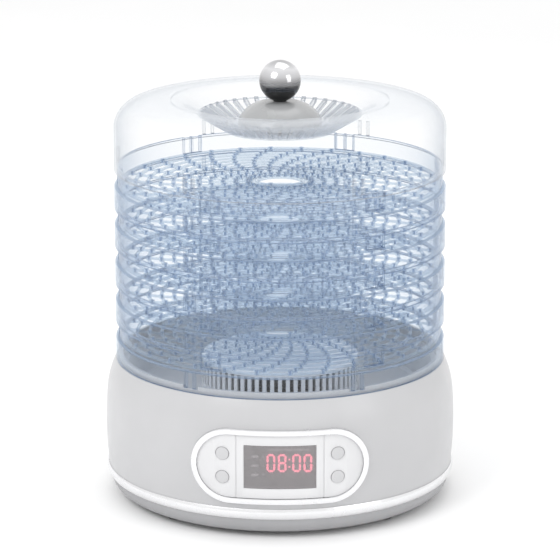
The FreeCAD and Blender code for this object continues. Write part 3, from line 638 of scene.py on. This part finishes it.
def figure_bars(figure, x, z):
    """Outlines of a seven-segment figure, its middle at (x, z)."""
    w, h = FIGURE_WIDTH / 2, FIGURE_HEIGHT / 2
    ends = {
        "a": (-w, h, w, h), "b": (w, h, w, 0), "c": (w, 0, w, -h), "d": (-w, -h, w, -h),
        "e": (-w, 0, -w, -h), "f": (-w, h, -w, 0), "g": (-w, 0, w, 0),
    }
    bars = []
    for segment in FIGURE_SEGMENTS[figure]:
        x0, z0, x1, z1 = ends[segment]
        bars.append(bar(x + x0, z + z0, x + x1, z + z1, FIGURE_STROKE))
    return bars


def colon_dot(z):
    """Outline of one dot of the colon, its middle at height z."""
    low, high = z - COLON_HALF, z + COLON_HALF
    return ((COLON_LEFT, low), (COLON_RIGHT, low), (COLON_RIGHT, high), (COLON_LEFT, high))


def display_middle():
    """Height of the middle of the display block."""
    low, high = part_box("display_module")
    return (low.z + high.z) / 2


def display_piece(name, outlines, rise, material):
    """Flat shapes that stand off the display block by rise, behind the lens."""
    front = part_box("display_module")[0].y
    bm = bmesh.new()
    for outline in outlines:
        prism(bm, outline, front - rise, front)
    place(name, mesh_of(name, bm, material), "base")


def display_digits(materials):
    """Lit figures of a time of day, with their colon."""
    middle = display_middle() + FIGURE_UP
    outlines = []
    for x, figure in FIGURES:
        outlines += figure_bars(figure, x * MM, middle)
    outlines += [colon_dot(middle - COLON_UP), colon_dot(middle + COLON_UP)]
    display_piece("display_digits", outlines, FIGURE_RISE, materials["digit"])


def display_marks(materials):
    """Faint marks of the display, which glow a little though they are unlit: painted light. Three short bars
    with dots at the left, and a hairline over the figures.
    """
    middle = display_middle()
    outlines = []
    for row in (-1, 0, 1):
        z = middle + row * MARK_PITCH
        outlines += [level_bar(MARK_BAR, z), level_bar(MARK_DOT, z)]
    outlines.append(level_bar(HAIRLINE, middle + HAIRLINE_UP))
    display_piece("display_marks", outlines, MARK_RISE, materials["mark"])


def screw_cross_painted_shade(materials):
    """Black crosses on the heads of the housing screws: painted shade of their cross recesses."""
    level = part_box("housing_screws")[0].z + CROSS_LEVEL
    bm = bmesh.new()
    for k in range(SCREW_COUNT):
        around = Matrix.Rotation(math.radians(360.0 / SCREW_COUNT * k), 4, "Z")
        head = around @ Matrix.Translation((SCREW_CIRCLE, 0.0, level))
        spot = head @ Matrix.Rotation(CROSS_TURN * k, 4, "Z")
        # Two black boxes make each cross: painted shade of the recess
        for length, width in ((CROSS_LENGTH, CROSS_WIDTH), (CROSS_WIDTH, CROSS_LENGTH)):
            size = Matrix.Diagonal((length, width, CROSS_DEPTH, 1.0))
            bmesh.ops.create_cube(bm, size=1.0, matrix=spot @ size)
    place("screw_cross_painted_shade", mesh_of("screw_cross_painted_shade", bm, materials["black"]), "base")


# ---------------------------------------------------------------- stage

def area_light(name, spot, size, power):
    """Soft rectangular light at a spot, pointing at the object."""
    light = bpy.data.lights.new(name, "AREA")
    light.shape = "RECTANGLE"
    light.size, light.size_y = size
    light.energy = power
    lamp = bpy.data.objects.new(name, light)
    lamp.location = spot
    lamp.rotation_euler = (Vector(LIGHT_AIM) - Vector(spot)).to_track_quat("-Z", "Y").to_euler()
    bpy.context.scene.collection.objects.link(lamp)


def make_floor(materials):
    """White floor just under the feet."""
    mesh = bpy.data.meshes.new("floor")
    bm = bmesh.new()
    bmesh.ops.create_grid(bm, x_segments=8, y_segments=8, size=12.0)
    bm.to_mesh(mesh)
    bm.free()
    mesh.materials.append(materials["floor"])
    floor = bpy.data.objects.new("floor", mesh)
    floor.location.z = CAD_BOX[0][2] - 0.2 * MM
    bpy.context.scene.collection.objects.link(floor)


def make_light():
    """Soft light from above and the sides, in a white surrounding."""
    world = bpy.data.worlds.new("studio")
    world.use_nodes = True
    background = world.node_tree.nodes["Background"]
    background.inputs["Color"].default_value = (1.0, 1.0, 1.0, 1.0)
    background.inputs["Strength"].default_value = 1.0
    bpy.context.scene.world = world
    area_light("key", (-1.3, -1.5, 1.9), (1.1, 1.1), 20.0)
    area_light("fill", (1.7, -1.3, 1.0), (0.9, 1.4), 6.0)
    area_light("top", (0.2, 0.5, 2.2), (1.5, 1.5), 8.0)


def make_camera():
    """Long lens, straight onto the control panel, from a little above."""
    elevation = math.radians(CAMERA_ELEVATION)
    target = Vector((0.0, 0.0, (CAD_BOX[0][2] + CAD_BOX[1][2]) / 2 - CAMERA_AIM_DROP))
    camera = bpy.data.cameras.new("camera")
    camera.sensor_width = 36.0
    camera.lens = CAMERA_LENS
    camera.clip_end = 60.0
    eye = bpy.data.objects.new("camera", camera)
    eye.location = target + CAMERA_DISTANCE * Vector((0.0, -math.cos(elevation), math.sin(elevation)))
    eye.rotation_euler = (target - eye.location).to_track_quat("-Z", "Y").to_euler()
    bpy.context.scene.collection.objects.link(eye)
    bpy.context.scene.camera = eye


def main():
    """Dresses the CAD pieces, adds the finishing pieces and sets the stage."""
    scene = bpy.context.scene
    scene.view_settings.view_transform = "Standard"
    scene.cycles.transparent_max_bounces = 96
    scene.cycles.max_bounces = 16
    materials = make_materials()
    for node, look in NODE_LOOKS.items():
        dress(node, materials[look])
    for number in TRAY_NUMBERS:
        dress(f"tray_{number}_wall", materials["tray_wall"])
        dress(f"tray_{number}_floor", materials["tray_floor"])
    for node, width in SOFT_EDGES.items():
        soften(node, width)
    tray_lines(materials)
    lid_lines(materials)
    display_digits(materials)
    display_marks(materials)
    screw_cross_painted_shade(materials)
    make_floor(materials)
    make_light()
    make_camera()


main()
